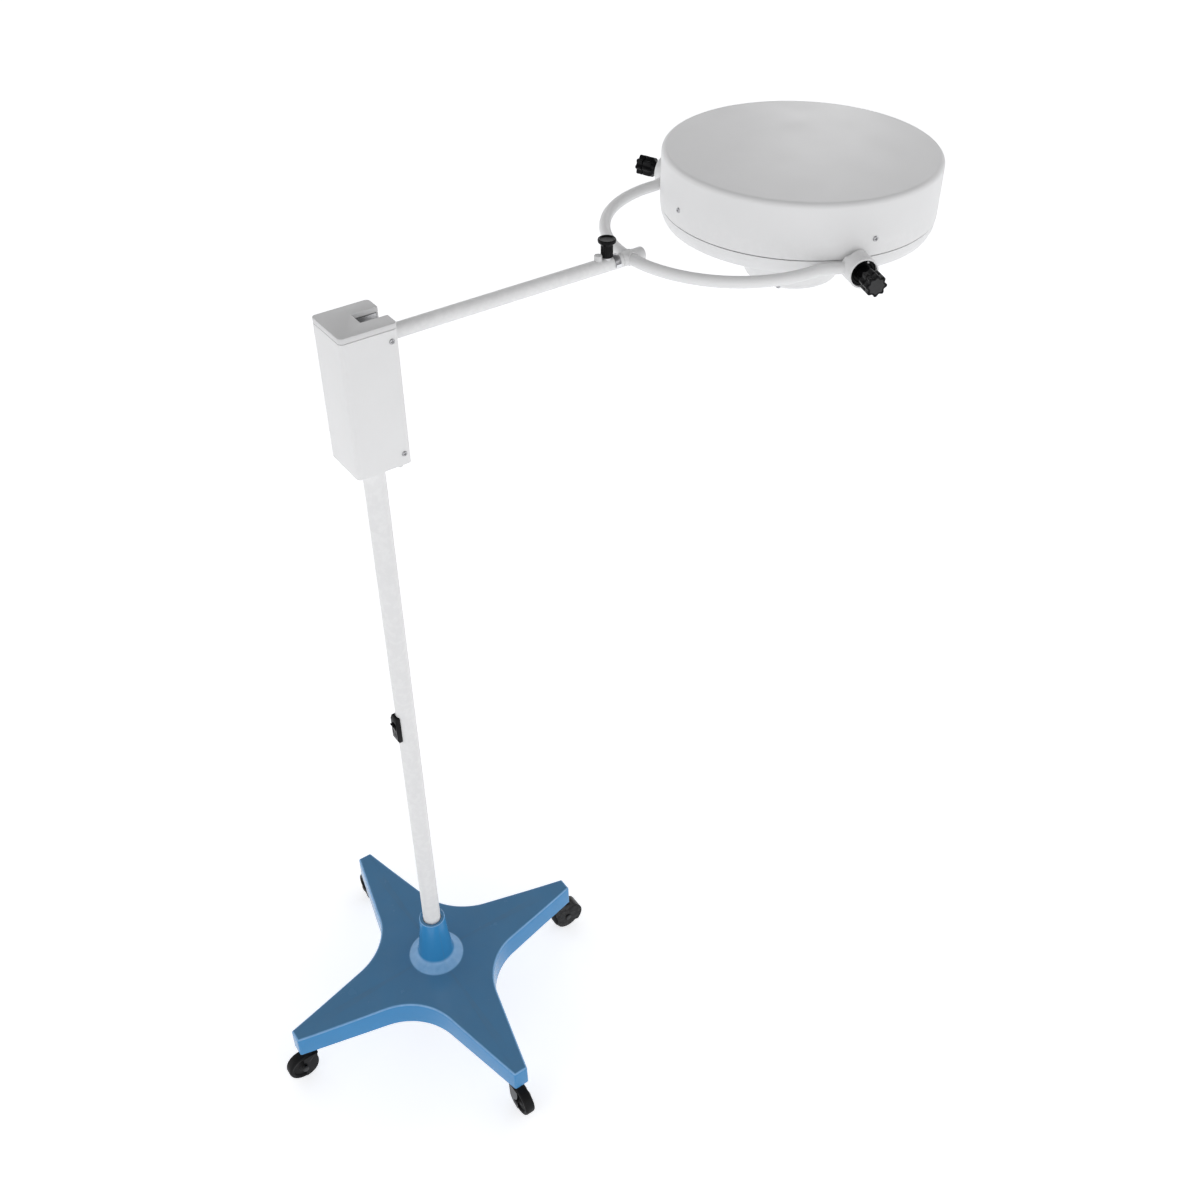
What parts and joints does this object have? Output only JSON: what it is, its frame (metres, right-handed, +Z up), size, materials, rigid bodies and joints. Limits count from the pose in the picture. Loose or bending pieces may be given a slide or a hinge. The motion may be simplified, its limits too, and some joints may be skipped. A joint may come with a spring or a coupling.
{
  "type": "examination lamp",
  "caption": "Mobile examination lamp: star base on castors, column with rocker switch, balanced arm in a square housing, tilting yoke and round drum head.",
  "frame": {"origin": "on the floor, below the middle of the lamp's overall length; the column stands at x = -0.3770 m", "axes": "+Z up, +X along the arm from the column to the lamp head, +Y to the left"},
  "size_m": [1.5342, 0.7802, 1.8134],
  "materials": {
    "blue_paint": "glossy enamel",
    "white_paint": "satin powder coat",
    "white_plastic": "satin moulded",
    "black_plastic": "satin moulded",
    "black_rubber": "matt",
    "steel": "turned, zinc plated",
    "cast_iron": "as cast",
    "chrome": "bright",
    "aluminium": "spun, bright anodised",
    "ceramic": "unglazed",
    "glass": "clear"
  },
  "bodies": {
    "stand": {"base_casting": "blue_paint", "ballast_weight": "cast_iron", "column_foot_nut": "steel", "column_bush": "black_rubber", "cable_gland": "black_plastic", "column_tube": "white_paint", "column_plug": "steel", "switch_bezel": "black_plastic", "castor_stem_front": "steel", "castor_stem_left": "steel", "castor_stem_rear": "steel", "castor_stem_right": "steel"},
    "switch": {"switch_rocker": "black_plastic"},
    "castor_front": {"castor_fork_front": "black_plastic", "castor_axle_front": "steel"},
    "wheel_front": {"castor_wheel_front": "black_rubber"},
    "castor_left": {"castor_fork_left": "black_plastic", "castor_axle_left": "steel"},
    "wheel_left": {"castor_wheel_left": "black_rubber"},
    "castor_rear": {"castor_fork_rear": "black_plastic", "castor_axle_rear": "steel"},
    "wheel_rear": {"castor_wheel_rear": "black_rubber"},
    "castor_right": {"castor_fork_right": "black_plastic", "castor_axle_right": "steel"},
    "wheel_right": {"castor_wheel_right": "black_rubber"},
    "housing": {"housing_shell": "white_paint", "housing_cap": "white_plastic", "swivel_sleeve": "steel", "swivel_stop": "white_plastic", "pivot_bracket": "steel", "pivot_pin": "steel", "balance_spring": "steel"},
    "rod": {"draw_rod": "steel", "spring_nut": "steel"},
    "arm": {"arm_tube": "white_paint", "arm_cam": "steel", "stop_stud": "white_plastic", "joint_clip": "chrome", "lock_ferrule": "steel"},
    "lock": {"lock_knob": "black_plastic", "lock_pin": "steel"},
    "yoke": {"yoke_frame": "white_paint", "yoke_spindle": "steel", "knob_collar_left": "black_plastic", "knob_collar_right": "black_plastic"},
    "knob_left": {"clamp_knob_left": "black_plastic", "clamp_screw_left": "steel"},
    "knob_right": {"clamp_knob_right": "black_plastic", "clamp_screw_right": "steel"},
    "head": {"head_cover": "white_paint", "bezel_ring": "white_paint", "front_glass": "glass", "reflector": "aluminium", "hub_housing": "white_paint", "hub_cap": "white_plastic", "lamp_holder": "ceramic", "bulb": "glass", "filter_glass": "glass", "trunnion_left": "white_paint", "trunnion_right": "white_paint"}
  },
  "joints": [
    {"name": "castor_swivel_front", "type": "hinge", "parent": "stand", "child": "castor_front", "pos_m": [-0.04895, 0, 0.0835], "axis": [0, 0, 1], "continuous": true},
    {"name": "castor_roll_front", "type": "hinge", "parent": "castor_front", "child": "wheel_front", "pos_m": [-0.02595, 0, 0.035], "axis": [0, 1, 0], "continuous": true},
    {"name": "castor_swivel_left", "type": "hinge", "parent": "stand", "child": "castor_left", "pos_m": [-0.37695, 0.328, 0.0835], "axis": [0, 0, 1], "continuous": true},
    {"name": "castor_roll_left", "type": "hinge", "parent": "castor_left", "child": "wheel_left", "pos_m": [-0.37695, 0.351, 0.035], "axis": [1, 0, 0], "continuous": true},
    {"name": "castor_swivel_rear", "type": "hinge", "parent": "stand", "child": "castor_rear", "pos_m": [-0.70495, 0, 0.0835], "axis": [0, 0, 1], "continuous": true},
    {"name": "castor_roll_rear", "type": "hinge", "parent": "castor_rear", "child": "wheel_rear", "pos_m": [-0.72795, 0, 0.035], "axis": [0, 1, 0], "continuous": true},
    {"name": "castor_swivel_right", "type": "hinge", "parent": "stand", "child": "castor_right", "pos_m": [-0.37695, -0.328, 0.0835], "axis": [0, 0, 1], "continuous": true},
    {"name": "castor_roll_right", "type": "hinge", "parent": "castor_right", "child": "wheel_right", "pos_m": [-0.37695, -0.351, 0.035], "axis": [1, 0, 0], "continuous": true},
    {"name": "switch_rock", "type": "hinge", "parent": "stand", "child": "switch", "pos_m": [-0.39945, 0, 0.892], "axis": [0, 1, 0], "range_deg": [0, 18]},
    {"name": "housing_swivel", "type": "hinge", "parent": "stand", "child": "housing", "pos_m": [-0.37695, 0, 1.498], "axis": [0, 0, 1], "range_deg": [-170, 170]},
    {"name": "arm_tilt", "type": "hinge", "parent": "housing", "child": "arm", "pos_m": [-0.37695, 0, 1.7074], "axis": [0, 1, 0], "range_deg": [-45, 45]},
    {"name": "rod_slide", "type": "slide", "parent": "housing", "child": "rod", "axis": [0, 0, 1], "range_m": [-0.021, 0.021], "deforming": ["balance_spring"]},
    {"name": "lock_slide", "type": "slide", "parent": "arm", "child": "lock", "axis": [0, 0, 1], "range_m": [0, 0.005], "stiffness_N_per_m": 700, "springref_m": -0.004},
    {"name": "yoke_roll", "type": "hinge", "parent": "arm", "child": "yoke", "pos_m": [0.11885, 0, 1.7074], "axis": [1, 0, 0], "range_deg": [-165, 165]},
    {"name": "head_tilt", "type": "hinge", "parent": "yoke", "child": "head", "pos_m": [0.42852, 0, 1.7074], "axis": [0, 1, 0], "range_deg": [-15, 60]},
    {"name": "knob_turn_left", "type": "hinge", "parent": "yoke", "child": "knob_left", "pos_m": [0.40892, 0.30118, 1.7074], "axis": [-0.3379, 0.9412, 0], "continuous": true},
    {"name": "knob_turn_right", "type": "hinge", "parent": "yoke", "child": "knob_right", "pos_m": [0.40892, -0.30118, 1.7074], "axis": [-0.3379, -0.9412, 0], "continuous": true}
  ],
  "couplings": [
    {"joint": "rod_slide", "follows": "arm_tilt", "m_per_rad": 0.026}
  ]
}
